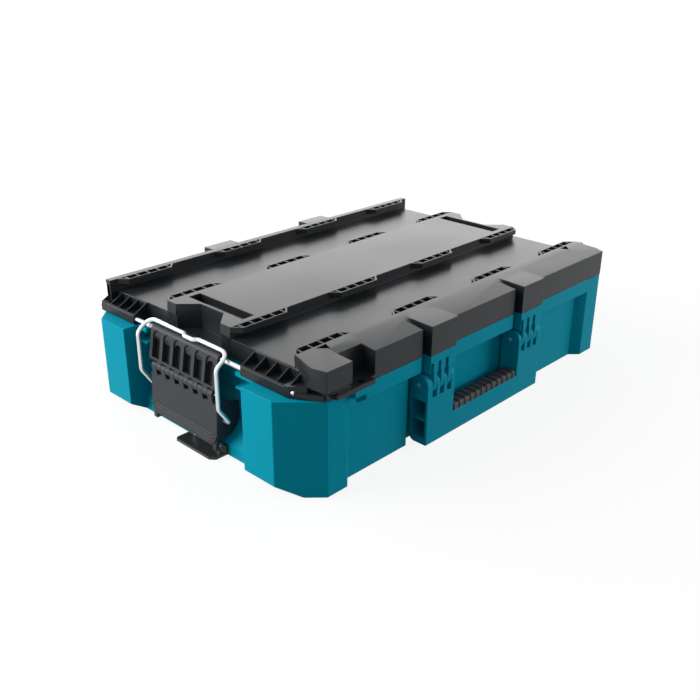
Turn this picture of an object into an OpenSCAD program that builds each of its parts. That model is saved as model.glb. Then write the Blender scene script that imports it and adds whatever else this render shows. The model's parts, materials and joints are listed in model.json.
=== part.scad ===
// Hard tool case: a moulded base, a hinged lid with stacking cleats, a folding front handle,
// and on each short end a steel rod with a hanging latch plate, a paddle and a wire bail.
// Millimetres. Origin: centre of the base's underside. X runs along the case, -Y is the handle
// side, +Z is up.

/* [Base] */
// Length over the end posts
base_l = 560; // [500:1:620]
// Width over the corner posts
base_w = 356; // [330:1:390]
// Height of the base up to its rim
base_h = 103.6; // [95:0.1:160]
// Leg of the cut-off corners
corner_leg = 36; // [24:1:44]
// Wall thickness of base and lid
wall = 3.2; // [2.4:0.1:4]
// Floor thickness
floor_t = 3.6; // [2.6:0.1:6]
// How far the end walls lie behind the end posts
end_recess = 39; // [37:0.5:44]
// Half width of the end recess between its posts
end_half = 98; // [92:1:104]
// How far the long walls lie behind the corner posts
side_recess = 10.6; // [8:0.1:14]
// Length of the corner posts' faces on the long sides
post_w = 27; // [20:1:32]
// Run of the bevel under the ends
bevel_run = 20; // [10:1:28]
// Rise of the bevel under the ends
bevel_rise = 12.5; // [6:0.5:18]
// Radius of the corners of the inner space
inner_r = 18; // [8:1:30]

/* [Lid] */
// Height of the lid above the rim
lid_h = 33.9; // [30:0.1:60]
// Depth of the two valleys in the top
valley_d = 12.5; // [8:0.5:16]
// Gap between lid and base
lid_gap = 0.4; // [0.3:0.05:0.8]
// How far the lid's ends lie inside the end posts
lid_end_in = 35; // [33:0.5:38]
// How far the rim guards reach past the lid's ends
guard_out = 20; // [17:0.5:21]
// How far the front blocks and the handle stand proud of the corner posts
block_out = 6; // [4:0.5:10]
// Middle of the pattern on the top and of the latches, measured towards the back
deck_y = 9.5; // [0:0.5:14]
// Width of the raised middle deck
deck_w = 105.5; // [90:0.5:120]
// Length of a cleat where it meets its bank
cleat_l = 76; // [60:1:90]
// How far a cleat stands out over the valley
cleat_out = 10; // [6:0.5:14]
// Number of cleats in a row
cleat_n = 4; // [3:1:4]

/* [Hinges and handle] */
// Inner edge of the hinge blocks and handle arms, from the middle
block_in = 60; // [50:1:70]
// Width of a hinge block
block_w = 42; // [36:1:50]
// Radius of the handle pins
handle_pin_r = 2.5; // [1.5:0.1:3.5]
// Radius of the handle's arm round its pin
arm_r = 12.3; // [11:0.1:13]
// Drop of the handle pins below the rim
handle_drop = 35.1; // [33:0.1:42]
// Height of the handle's cross bar
bar_h = 25.5; // [18:0.5:30]
// Height of the ribbed grip on the cross bar
grip_h = 8.5; // [6:0.5:12]
// Radius of the lid's hinge pins
hinge_pin_r = 2; // [1.5:0.1:2.5]
// Radius of the lid's hinge knuckles
hinge_r = 6; // [5:0.1:6.5]

/* [Latches] */
// Width of the latch plate and paddle
latch_w = 113; // [90:1:120]
// Radius of the steel rod in the lid
rod_r = 2.5; // [2:0.1:3]
// Distance from the rod to the paddle's hinge pin
plate_l = 39.1; // [34:0.1:50]
// Lean of the latch plate, in degrees
plate_lean = 10.3; // [6:0.1:14]
// Radius of the paddle's hinge pin
knuckle_pin_r = 1.6; // [1:0.1:2]
// Radius of the paddle's knuckles
knuckle_r = 4.8; // [4.4:0.1:5.2]
// Number of knuckles on the paddle
knuckle_n = 7; // [5:1:9]
// Radius of the paddle's side cheeks
hub_r = 20; // [16:0.5:21]
// Radius of the bail's wire
wire_r = 2.25; // [1.5:0.05:2.6]
// Outer half width of the bail, to the middle of its wire
bail_half = 66.5; // [62:0.5:70]
// Thickness of the catch under each end
catch_t = 3; // [2:0.1:4]
// Radius of the padlock hole
padlock_r = 3.8; // [3:0.1:5]

/* [Hidden] */

teal = [0.0, 0.47, 0.55];
grey = [0.22, 0.23, 0.25];
dark = [0.12, 0.12, 0.13];
steel = [0.78, 0.8, 0.8];

$fn = 48;
eps = 0.02;         // overlap where two solids of one piece are joined
run_gap = 0.06;     // radial clearance of a running fit
seat_gap = 0.02;    // radial clearance of a pin that stays in its hole
side_gap = 0.4;     // clearance between pieces that move past each other

half_l = base_l / 2;
half_w = base_w / 2;
end_x = half_l - end_recess;           // outer face of the end walls
side_y = half_w - side_recess;         // outer face of the long walls
side_half = half_l - corner_leg - post_w;   // half length of the long recess between its posts
inner_x = end_x - wall;
inner_y = side_y - wall;
diag = sqrt(2) - 1;                    // shift of a 45 degree corner for an inset of 1

// Lid levels and outlines
lid_z = base_h + lid_gap;              // underside of the lid over the rim
top_z = base_h + lid_h;
valley_z = top_z - valley_d;
lid_x = half_l - lid_end_in;           // end of the lid beside the latch
guard_x = lid_x + guard_out;           // outer face of the rim guards
guard_z = lid_z + 10;                  // top of the guards' upright band
bay_y = half_w;                        // front face of the lid between its blocks
back_y = side_y + wall + side_gap;     // back face of the lid
block_y = half_w + block_out;
skirt_drop = 5.7;                      // reach of the lid's skirts below its underside
skirt_x = side_half - side_recess - 4;
seal_deep = 2;                         // depth of the seal's groove
bay_z = top_z - 3.5;                   // front edge of the sloping border
band_z = base_h - 17;                  // lower edge of the base's rim band
band_lean = 7;                         // how much lower its underside meets the wall
front_bank = [block_y - 48, block_y - 37];   // inner and outer edge of the front bank's top
back_bank = [back_y - 13.5, back_y - 5];     // the same for the back bank
slope_back_z = top_z - 3.5;
cleat_t = 6.5;                         // thickness of a cleat's overhanging plate

// Hinges and handle
block_mid = block_in + block_w / 2;
hinge_y = half_w;
hinge_z = lid_z - 9;
hinge_w = block_w / 4 - side_gap;      // width of a middle knuckle
pivot_y = block_y - arm_r;
pivot_z = base_h - handle_drop;
arm_back = 24.5;                       // depth of the handle's arms
arm_out = block_in + block_w + 2.6;
foot_r = 9;                            // radius of the lower back corner of an arm
bar_back = 17;                         // depth of the cross bar and its grip
handle_z = 0.6;                        // underside of the folded handle
well_y = block_y - arm_back - 2;       // floor of the well behind the handle
well_x = arm_out + 3;
well_top = pivot_z + arm_r + 2.5;
finger_n = 3;
gap_top = base_h - 9;                  // top of the gaps in the bosses over the handle's fingers
gap_deep = 12;
grip_ribs = 12;
grip_x = block_in - 2.5;
finger_pitch = block_w / (2 * finger_n + 1) * 2;
finger_w = finger_pitch / 2 - side_gap;

// Latch axes, on the -X end
rod_x = half_l - 19;
rod_z = base_h + 5.9;
rod_half = half_w - 15.5;
pin_x = rod_x + plate_l * sin(plate_lean);
pin_z = rod_z - plate_l * cos(plate_lean);
hub_x = half_l - 17.5;
hub_z = pin_z - 29.5;
hub_gap = 1.5;
sill_top = hub_x + hub_z - sqrt(2) * (hub_r + hub_gap);   // X plus Z along the sills' slope
sill_x = half_l - bevel_run;           // face of the sill under the recess
plate_front = 5;                       // plate's face in front of the line rod to pin
plate_back = 3;
latch_y0 = deck_y - latch_w / 2;
latch_y1 = deck_y + latch_w / 2;
bar_z = plate_l - knuckle_r - 1.6;     // underside of the plate's lower bar, below the rod
pocket_z = bar_z - 2.6;                // foot of the plate's pockets, below the rod
pocket_pitch = (latch_w - 5) / (knuckle_n - 1);
pocket_h = pocket_z - rod_r - 3;
pocket_in = [1.6, 1.8];                // depths left by the pockets in the front and in the back
knuckle_pitch = (latch_w - 17.5) / (knuckle_n - 1);
knuckle_w = knuckle_pitch / 2 - side_gap;
cheek_t = 4;
face_top_x = pin_x + 2.3;
face_top_z = pin_z - 9;
face_low_x = pin_x + 4.6;
face_low_z = max(bevel_rise + 11.5, hub_z - hub_r + 2.5);
tip_x = face_low_x + 1.6;
tip_z = face_low_z - 9;
hook_gap = 4.8;                        // room between the hooks and the foot catch behind them
paddle_t = 3.4;
bail_leg_x = rod_x + 15;
bail_top_x = rod_x - 1.5;
bail_top_z = rod_z + 8.6;
bail_foot_z = hub_z + 20.5;            // where the bail's legs turn in to its pivots
bail_y0 = deck_y - bail_half;
bail_y1 = deck_y + bail_half;
bail_drop = 12;                        // drop from the bail's top to its legs' upper ends
jog = 4;                               // offset of the bail's top near its middle
jog_y = [deck_y - 19, deck_y - 14, deck_y, deck_y + 5];
catch_y = [-48, 16];                   // ends of the foot catch
catch_z = 0.5;                         // underside of the foot catch
screw_z = 7.5;
screw_r = 2;
padlock = [18 - side_half, 1 - half_w];      // centre of the padlock hole
tab_half = 14;
tab_t = 7;
lip_back = side_y + 3;                 // how far back the padlock lip reaches
lip_end = 43 - half_l;                 // left end of the shelf beside the padlock lip
lip_t = 4.6;                           // thickness of the padlock lip
bite = [padlock[0] - tab_half, padlock[0] + tab_half + 5, 18 - half_w];   // ends and back of the
                                       // notch over the padlock lip
channel_w = 7;                         // width of the channels beside the front blocks
channel_r = 25.5;                      // radius of a channel's rounded top
block_flat = block_y - 23;             // outer edge of the flat top of a front block
slot = [lid_x - 37.5, lid_x - 22.5, 9];      // ends and depth of the slots across the deck
slot_rim = 6;                          // top left inside each slot in the deck's end pieces
deck_half = deck_w / 2;
notch = [37, 18.5, 19];                // half width of the deck's end notch outside and inside; depth
guard_near = [30 - half_w, deck_y - deck_half - 36.75];   // ends of the near guards
guard_far = [deck_y + deck_half + 37.75, half_w - 14];

// Plan of the base, pulled in by t
function quarter(t) = [
    [end_x - t, end_half + t], [half_l - t, end_half + t],
    [half_l - t, half_w - corner_leg - t * diag], [half_l - corner_leg - t * diag, half_w - t],
    [side_half + t * diag, half_w - t], [side_half - side_recess + t * diag, side_y - t]];
function turned(list) = [for (i = [len(list) - 1 : -1 : 0]) list[i]];
function base_plan(t) = let (q = quarter(t)) concat(
    q, turned([for (p = q) [-p[0], p[1]]]), [for (p = q) -p], turned([for (p = q) [p[0], -p[1]]]));

// A list of points in X and Z, drawn along Y from y0 to y1
module along_y(y0, y1) translate([0, y1, 0]) rotate([90, 0, 0]) linear_extrude(y1 - y0) children();
// A list of points in Y and Z, drawn along X from x0 to x1
module along_x(x0, x1) translate([x0, 0, 0]) rotate([90, 0, 90]) linear_extrude(x1 - x0) children();
module shaft_y(x, z, r, y0, y1) translate([x, y1, z]) rotate([90, 0, 0]) cylinder(r = r, h = y1 - y0);
module shaft_x(y, z, r, x0, x1) translate([x0, y, z]) rotate([0, 90, 0]) cylinder(r = r, h = x1 - x0);
module slab(z0, z1) translate([0, 0, z0]) linear_extrude(z1 - z0) children();
module box(a, b) translate(a) cube(b - a);
module both_ends() { children(); mirror([1, 0, 0]) children(); }
module round_plan(x, y, r) {
    square([2 * x, 2 * (y - r)], center = true);
    square([2 * (x - r), 2 * y], center = true);
    for (sx = [-1, 1], sy = [-1, 1]) translate([sx * (x - r), sy * (y - r)]) circle(r);
}

// ---- base ----

module base_block() intersection() {
    linear_extrude(base_h) polygon(base_plan(0));
    along_y(-half_w - 1, half_w + 1) polygon([
        [-half_l, base_h + 1], [-half_l, bevel_rise], [-sill_x, 0],
        [sill_x, 0], [half_l, bevel_rise], [half_l, base_h + 1]]);
}

// Sill along the foot of each end recess, sloping clear of the paddle's round cheeks
module end_sills() color(teal) both_ends() difference() {
    along_y(-end_half, end_half) polygon([
        [end_x, 0], [sill_x, 0], [sill_x, sill_top - sill_x], [end_x, sill_top - end_x]]);
    for (y = screw_ys()) shaft_x(y, screw_z, screw_r + run_gap, sill_x - 9.4, sill_x + 1);
}

// Shelves beside the latches, out of the bail's way when the lid lifts
module end_shelves() color(teal) both_ends()
    for (y = [[-end_half, deck_y - bail_half - 11], [deck_y + bail_half + 6, end_half]],
        z = [[base_h - 19, base_h - 16], [base_h - 5, base_h]])
        box([end_x, y[0], z[0]], [sill_x + 2, y[1], z[1]]);

module handle_bosses() color(teal) for (s = [-1, 1]) {
    x0 = s * block_mid - block_w / 2;
    difference() {
        union() {
            box([x0, -block_y, well_top], [x0 + block_w, -side_y, base_h]);
            for (i = [0 : finger_n - 1]) {
                f = x0 + finger_pitch * (i + 0.5) + side_gap / 2;
                box([f, -block_y, pivot_z], [f + finger_w, -pivot_y + arm_r, well_top]);
                box([f, -block_y, well_top - 1], [f + finger_w, -side_y, well_top + eps]);
                shaft_x(-pivot_y, pivot_z, arm_r, f, f + finger_w);
            }
        }
        for (i = [0 : finger_n - 1]) {
            g = x0 + finger_pitch * i + 1;
            box([g, -block_y - 1, well_top - 1], [g + finger_w - 1.4, -block_y + gap_deep, gap_top]);
        }
        shaft_x(-pivot_y, pivot_z, handle_pin_r + seat_gap, x0 - 1, x0 + block_w + 1);
    }
}

// Knuckles of the lid hinge on the back wall
module hinge_knuckles() color(teal) for (s = [-1, 1], k = [-1, 1]) {
    x = s * block_mid + k * block_w / 4 - hinge_w / 2;
    difference() {
        union() {
            shaft_x(hinge_y, hinge_z, hinge_r, x, x + hinge_w);
            along_x(x, x + hinge_w) polygon([
                [side_y, hinge_z + 1], [hinge_y, hinge_z + hinge_r - eps],
                [hinge_y + hinge_r - eps, hinge_z], [side_y, hinge_z - 16]]);
        }
        shaft_x(hinge_y, hinge_z, hinge_pin_r + seat_gap, x - 1, x + hinge_w + 1);
        back_band();
    }
}

// Trapezoid well behind the folded handle; t widens it for the wall behind it
module handle_well(t, z0, z1) translate([0, 0, z0]) linear_extrude(z1 - z0) polygon([
    [-well_x - 2 * side_recess - t, -half_w - 1], [-well_x - t, -well_y + t],
    [well_x + t, -well_y + t], [well_x + 2 * side_recess + t, -half_w - 1]]);

module corner_core() translate([0, 0, -1]) linear_extrude(base_h - wall + 1) polygon([
    [end_x + wall, end_half + wall], [half_l - wall, end_half + wall],
    [half_l - wall, half_w - corner_leg - wall * diag],
    [end_x + wall, half_w - corner_leg - wall * diag + (half_l - end_x - 2 * wall)]]);

// Bands along the rim, flush with the posts at the front and under the lid's skirt at the back.
// The front one leaves room for the channels, the bosses and the padlock's shackle.
module rim_bands() color(teal) {
    difference() {
        along_x(-side_half, side_half) polygon([
            [-side_y, band_z - band_lean], [-half_w, band_z], [-half_w, base_h], [-side_y, base_h]]);
        base_block();
        handle_well(0, -1, well_top);
        padlock_room(base_h - tab_t, base_h + 1, tab_half);
        padlock_room(0, base_h, tab_half / 2);
        for (x = channel_xs()) box([x, -block_y, 0], [x + channel_w + block_w, 1 - side_y, base_h + 1]);
    }
    back_band();
}
module back_band() box([-side_half + side_recess, side_y, band_z],
    [side_half - side_recess, back_y - 0.6, lid_z - skirt_drop - side_gap]);

// Room about the padlock hole between two heights, w to either side
module padlock_room(z0, z1, w)
    box([padlock[0] - w, -block_y - 1, z0], [padlock[0] + w, 1 - side_y, z1]);
// Plate with the padlock hole, between two heights and back to a depth
module padlock_tab() difference() {
    padlock_piece(base_h - tab_t, base_h, -side_y);
    base_block();
}
module padlock_piece(z0, z1, back) difference() {
    box([padlock[0] - tab_half, -block_y, z0], [padlock[0] + tab_half, back, z1]);
    translate([padlock[0], padlock[1], z0 - 1]) cylinder(r = padlock_r, h = z1 - z0 + 2);
}

// Left ends of the channels beside the front blocks
function channel_xs() = [-block_in - block_w - channel_w, block_in - channel_w];

// Box round the cavity, which the posts, sills and bands stand on
module core_box() box([-end_x, -side_y, 0], [end_x, side_y, base_h]);
module base_shell() color(teal) difference() {
    core_box();
    difference() {
        slab(floor_t, base_h + 1) round_plan(inner_x, inner_y, inner_r);
        handle_well(wall, 0, well_top + wall);
    }
    handle_well(0, -1, well_top);
}

module corner_posts() color(teal) difference() {
    base_block();
    core_box();
    for (sy = [-1, 1]) both_ends() scale([1, sy, 1]) corner_core();
}

// ---- foot catches under the ends ----

function screw_ys() = [catch_y[0] + 12, catch_y[1] - 12];
module foot_catch() difference() {
    union() {
        translate([0, 0, catch_z]) linear_extrude(catch_t) polygon([
            [sill_x, catch_y[0]], [half_l - 4, catch_y[0]], [half_l + 1, catch_y[0] + 6],
            [half_l + 1, catch_y[1] - 3], [half_l - 2, catch_y[1]], [sill_x, catch_y[1]]]);
        box([sill_x, catch_y[0], catch_z], [sill_x + catch_t, catch_y[1], catch_z + 11.6]);
    }
    for (y = screw_ys()) shaft_x(y, screw_z, screw_r + run_gap, sill_x - 1, sill_x + catch_t + 1);
}
module foot_screws() for (y = screw_ys()) difference() {
    union() {
        shaft_x(y, screw_z, screw_r, sill_x - 9, sill_x + catch_t + eps);
        translate([sill_x + catch_t, y, screw_z]) rotate([0, 90, 0]) cylinder(r1 = 3.6, r2 = 2.8, h = 1.2);
    }
    box([sill_x + catch_t + 0.6, y - 0.5, screw_z - 2.2], [sill_x + catch_t + 2, y + 0.5, screw_z + 2.2]);
}

// ---- lid ----

// Plan of one cleat: a trapezoid that stands out from a bank at y = 0 towards +Y
module cleat_plan() polygon([
    [-cleat_l / 2, -2], [cleat_l / 2, -2], [cleat_l / 2, 0], [cleat_l / 2 - cleat_out + 1, cleat_out],
    [-cleat_l / 2 + cleat_out - 1, cleat_out], [-cleat_l / 2, 0]]);
module cleat_pockets() {
    flat = cleat_l - 2 * cleat_out;
    for (i = [0 : 3]) translate([-flat / 2 + flat * (i + 0.5) / 4 - flat / 8 + 0.9, -0.5])
        square([flat / 4 - 1.8, cleat_out - 1.3]);
    for (s = [-1, 1]) polygon([[s * (flat / 2 + 1), -0.5], [s * (flat / 2 + cleat_out - 2.5), -0.5],
        [s * (flat / 2 + 1), cleat_out - 3.2]]);
}
function cleat_xs() = [for (i = [0 : cleat_n - 1])
    (2 * i / (cleat_n - 1) - 1) * (lid_x - cleat_l / 2)];
module cleats(y, dir) for (x = cleat_xs()) translate([x, y, 0]) scale([1, dir, 1]) difference() {
    translate([0, 0, top_z - cleat_t]) linear_extrude(cleat_t) cleat_plan();
    translate([0, 0, top_z - cleat_t + 1.5]) linear_extrude(cleat_t) cleat_pockets();
}

// Notch in each end of the deck, widened by t
module notch_plan(t) translate([0, deck_y]) polygon([
    [lid_x + 2, notch[0] + t], [lid_x, notch[0] + t], [lid_x - notch[2] - t, notch[1] + t],
    [lid_x - notch[2] - t, -notch[1] - t], [lid_x, -notch[0] - t], [lid_x + 2, -notch[0] - t]]);
// Raised deck with its ends sloping out a little below their top edge
module deck() along_y(deck_y - deck_half, deck_y + deck_half) polygon([
    [-lid_x - 1, valley_z - eps], [-lid_x - 1, valley_z + 4], [-lid_x, top_z], [lid_x, top_z],
    [lid_x + 1, valley_z + 4], [lid_x + 1, valley_z - eps]]);

module guard(y0, y1, n) difference() {
    along_y(y0, y1) polygon([
        [lid_x - 6, lid_z], [guard_x, lid_z], [guard_x, guard_z], [lid_x, valley_z],
        [lid_x - 6, valley_z]]);
    pitch = (y1 - y0 - 2) / n;
    for (i = [0 : n - 1]) translate([0, y0 + 2 + pitch * i, 0]) along_y(0, pitch - 2) polygon([
        [lid_x + 1.5, guard_z - 0.8], [guard_x - 2.5, guard_z - 0.8], [guard_x - 2.5, valley_z + 1],
        [lid_x + 1.5, valley_z + 1]]);
}

// Sections of the front and back banks in Y and Z
bank_section = [
    [-bay_y, lid_z], [-bay_y, bay_z], [-front_bank[1], top_z], [-front_bank[0], top_z],
    [-front_bank[0], lid_z]];
back_section = [
    [back_y, lid_z], [back_y, slope_back_z], [back_bank[1], top_z], [back_bank[0], top_z],
    [back_bank[0], lid_z]];

// Channel beside a front block: rounded from the top down to an upright back wall
module channel(x) along_x(x, x + channel_w) difference() {
    translate([-block_y - 1, lid_z - 1]) square([block_y + 1 - front_bank[1], lid_h + 2]);
    translate([-front_bank[1], top_z - channel_r]) circle(channel_r);
    translate([-front_bank[1] - channel_r, lid_z - 2]) square([channel_r + 1, lid_h + 2 - channel_r]);
}

// Blocks on the front and back edges, over the handle arms and over the hinges
module edge_block(s, inner) along_x(s * block_mid - block_w / 2, s * block_mid + block_w / 2) polygon([
    [-block_y, lid_z], [-block_y, top_z - 1], [-block_flat, top_z], [-inner, top_z], [-inner, lid_z]]);

module corner_caps() {
    // left front corner block, with a gap below it
    slab(guard_z + 1.6, top_z) polygon([
        [-lid_x + 8, -front_bank[0]], [-lid_x + 1, -front_bank[0]], [-lid_x - 9, -half_w + 11],
        [-lid_x - 5, -block_y], [-side_half, -block_y], [-side_half + 4, -front_bank[0]]]);
    slab(lid_z, guard_z - 4) polygon([
        [-lid_x + 8, guard_near[0] + 6], [-guard_x, guard_near[0] + 6], [-guard_x, guard_near[0]],
        [-lid_x - 3, -half_w + 2], [-side_half, -half_w + 2], [-side_half, -front_bank[0]]]);
    slab(guard_z - 5, guard_z + 2) polygon([
        [-lid_x + 8, guard_near[0] + 6], [-guard_x, guard_near[0] + 6], [-guard_x, guard_near[0]],
        [-lid_x - 9, -half_w + 16], [-side_half, -half_w + 16], [-side_half, -front_bank[0]]]);
    // right front corner
    slab(lid_z, guard_z + 1) polygon([
        [lid_x - 8, guard_near[0] + 6], [guard_x, guard_near[0] + 6], [guard_x, guard_near[0]],
        [lid_x - 2, -bay_y], [lid_x - 20, -bay_y]]);
    slab(guard_z, bay_z) polygon([
        [lid_x - 8, -front_bank[0]], [lid_x + 1, -front_bank[0]], [lid_x + 8, -bay_y + 26],
        [lid_x + 7, -bay_y + 12], [lid_x + 1, -bay_y + 4], [lid_x - 6, -bay_y], [lid_x - 20, -bay_y]]);
    slab(bay_z - 1, top_z) polygon([
        [lid_x - 8, -front_bank[0]], [lid_x + 1, -front_bank[0]], [lid_x + 4, -front_bank[1]],
        [lid_x - 20, -front_bank[1]]]);
    // back corners
    both_ends() {
        slab(lid_z, guard_z + 1) polygon([
            [lid_x - 8, guard_far[1] - 8], [guard_x, guard_far[1] - 8], [guard_x, guard_far[1] - 4],
            [lid_x + 8, back_y], [lid_x - 20, back_y]]);
        slab(guard_z, slope_back_z) polygon([
            [lid_x - 8, back_bank[0]], [lid_x + 10, back_bank[0]], [lid_x + 10, back_y - 6],
            [lid_x + 5, back_y], [lid_x - 20, back_y]]);
        slab(slope_back_z - 1, top_z) polygon([
            [lid_x - 8, back_bank[0]], [lid_x + 10, back_bank[0]], [lid_x + 10, back_bank[1]],
            [lid_x - 20, back_bank[1]]]);
    }
}
module lid_solid() {
    slab(lid_z, valley_z) translate([-lid_x, -bay_y]) square([2 * lid_x, bay_y + back_y]);
    deck();
    along_x(-lid_x, lid_x) polygon(bank_section);
    along_x(-lid_x, lid_x) polygon(back_section);
    cleats(-front_bank[0], 1);
    cleats(deck_y - deck_half, -1);
    cleats(deck_y + deck_half, 1);
    cleats(back_bank[0], -1);
    for (s = [-1, 1]) {
        edge_block(s, front_bank[0]);
        scale([1, -1, 1]) edge_block(s, back_bank[0]);
    }
    both_ends() {
        guard(guard_near[0], guard_near[1], 4);
        guard(guard_far[0], guard_far[1], 4);
    }
    corner_caps();
}

// Leaves of the lid hinge between and beside the base's knuckles
module hinge_leaves() color(grey) for (s = [-1, 1], k = [-1, 0, 1]) {
    w = k == 0 ? hinge_w : hinge_w / 2;
    x = s * block_mid + k * (block_w - w) / 2 - w / 2;
    difference() {
        union() {
            shaft_x(hinge_y, hinge_z, hinge_r, x, x + w);
            box([x, hinge_y - hinge_r + 2, hinge_z], [x + w, hinge_y + hinge_r, lid_z]);
        }
        shaft_x(hinge_y, hinge_z, hinge_pin_r + run_gap, x - 1, x + w + 1);
    }
}

// Skirt of the lid over the back rim band
module back_skirt() color(grey)
    box([-skirt_x, back_y - wall, lid_z - skirt_drop], [skirt_x, back_y, lid_z]);

module whole_lid() difference() {
    union() {
        difference() {
            lid_solid();
            lid_hollow();
        }
        // shelf beside the padlock lip and the wall behind its notch
        box([lip_end, -block_y, lid_z], [bite[0] + eps, -bay_y + 2, lid_z + lip_t]);
        box([bite[0] - wall, bite[2] - wall, lid_z], [bite[1] + wall, bite[2] + wall, bay_z]);
    }
    for (x = channel_xs()) channel(x);
    box([padlock[0] - tab_half, -block_y - 1, lid_z - 1],
        [padlock[0] + tab_half, -lip_back, lid_z + lip_t]);
    both_ends() slab(lid_z + 5, top_z + 1) notch_plan(0);
    box([bite[0], -block_y - 1, lid_z + lip_t], [bite[1], bite[2], top_z + 1]);
    both_ends() {
        // pocket in the end of the back bank
        box([lid_x + 1, back_bank[0] + 2, guard_z + 3],
            [lid_x + 11, back_bank[1] - 1, slope_back_z - 2]);
        // three-cornered pocket in the top beside the front corner
        slab(top_z - 4, top_z + 1) polygon([
            [bite[0] - 8, -front_bank[0] - 3.5], [bite[0] + 6, -front_bank[0] - 3],
            [bite[0] + 2, -front_bank[1] - 2]]);
    }
    slab(lid_z - 1, lid_z + seal_deep) seal_plan();
    both_ends() box([slot[0], deck_y - deck_half + 8, top_z - slot[2]],
        [slot[1], deck_y + deck_half - 8, top_z + 1]);
    both_ends() shaft_y(rod_x, rod_z, rod_r + seat_gap, deck_y - rod_half, deck_y + rod_half);
}

// The lid is drawn in parts: the corner with the padlock lip, the deck's two ends, and the rest
module corner_room()
    box([-guard_x - 1, -block_y - 1, lid_z - 1], [bite[1] + wall, -front_bank[0], top_z + 1]);
module deck_end_rooms() both_ends() box([slot[0] - slot_rim, deck_y - deck_half, lid_z - 1],
    [guard_x + 1, deck_y + deck_half, top_z + 1]);
module lid_shell() color(grey) difference() {
    whole_lid();
    corner_room();
    deck_end_rooms();
}
module lid_corner() color(grey) intersection() {
    whole_lid();
    corner_room();
}
module deck_ends() color(grey) intersection() {
    whole_lid();
    deck_end_rooms();
}
module lid_hollow() {
    slab(lid_z - 1, valley_z - wall) difference() {
        square([2 * (inner_x - 2), 2 * (inner_y - 2)], center = true);
        both_ends() notch_plan(wall);
    }
    along_x(-lid_x + 12, lid_x - 12) polygon([
        [-inner_y + 2, valley_z - wall - 1], [-inner_y + 2, bay_z - wall],
        [-front_bank[1] + 1, top_z - wall], [-front_bank[0] - wall, top_z - wall],
        [-front_bank[0] - wall, valley_z - wall - 1]]);
    slab(valley_z - wall - 1, top_z - wall) translate([0, deck_y])
        square([2 * (slot[0] - wall), deck_w - 2 * wall], center = true);
}
module seal_plan() difference() {
    round_plan(inner_x + wall - 0.6, inner_y + wall - 0.6, inner_r);
    round_plan(inner_x + 0.4, inner_y + 0.4, inner_r - 2);
}

module lid_seal() color(dark) slab(base_h + 0.1, lid_z + seal_deep) seal_plan();

module hinge_pins() color(steel) for (s = [-1, 1])
    shaft_x(hinge_y, hinge_z, hinge_pin_r, s * block_mid - block_w / 2, s * block_mid + block_w / 2);

// ---- handle ----

module arm_side() {
    translate([-pivot_y, pivot_z]) circle(arm_r);
    translate([-block_y + arm_back - foot_r, handle_z + foot_r]) circle(foot_r);
    polygon([[-block_y, pivot_z], [-block_y, handle_z], [-block_y + arm_back - foot_r, handle_z],
        [-block_y + arm_back, handle_z + foot_r], [-block_y + arm_back, pivot_z]]);
}
module handle_frame() color(teal) difference() {
    union() {
        both_ends() along_x(block_in, arm_out) arm_side();
        along_x(-block_in - 1, block_in + 1) polygon([
            [-block_y, handle_z], [-block_y, bar_h], [-block_y + bar_back, bar_h],
            [-block_y + bar_back, handle_z + 6], [-block_y + bar_back - 6, handle_z]]);
    }
    for (s = [-1, 1]) {
        x0 = s * block_mid - block_w / 2;
        for (i = [0 : finger_n - 1]) {
            f = x0 + finger_pitch * (i + 0.5);
            box([f - side_gap / 2, -block_y - 1, pivot_z - arm_r - 1.4],
                [f + finger_pitch / 2 + side_gap / 2, -block_y + arm_back + 1, pivot_z + arm_r + 1]);
        }
        shaft_x(-pivot_y, pivot_z, handle_pin_r + run_gap,
            s * block_mid - block_w, s * block_mid + block_w);
    }
    // hollow of each arm, open to its outer side, with a cross rib
    both_ends() for (z = [[handle_z + 7, 28.5], [31, pivot_z - arm_r - 5]])
        box([block_in + wall, -block_y + wall, z[0]], [arm_out + 1, -block_y + arm_back - wall, z[1]]);
}
module handle_grip() color(dark) {
    along_x(-grip_x, grip_x) grip_section(1.2);
    rib = 2 * grip_x / (2 * grip_ribs - 1);
    for (i = [0 : grip_ribs - 1])
        along_x(-grip_x + 2 * i * rib, -grip_x + (2 * i + 1) * rib) grip_section(0);
}
module grip_section(t) translate([-block_y, bar_h]) polygon([
    [t, 0], [t, grip_h - 2], [2 + t / 2, grip_h - t], [bar_back - 2 - t / 2, grip_h - t],
    [bar_back - t, grip_h - 2], [bar_back - t, 0]]);
module handle_pins() color(steel) both_ends()
    shaft_x(-pivot_y, pivot_z, handle_pin_r, block_in + side_gap, arm_out - side_gap);

// ---- latches, drawn on the +X end and mirrored to the other ----

function knuckle_y(i, n) = deck_y + (i - (n - 1) / 2) * knuckle_pitch;

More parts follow.
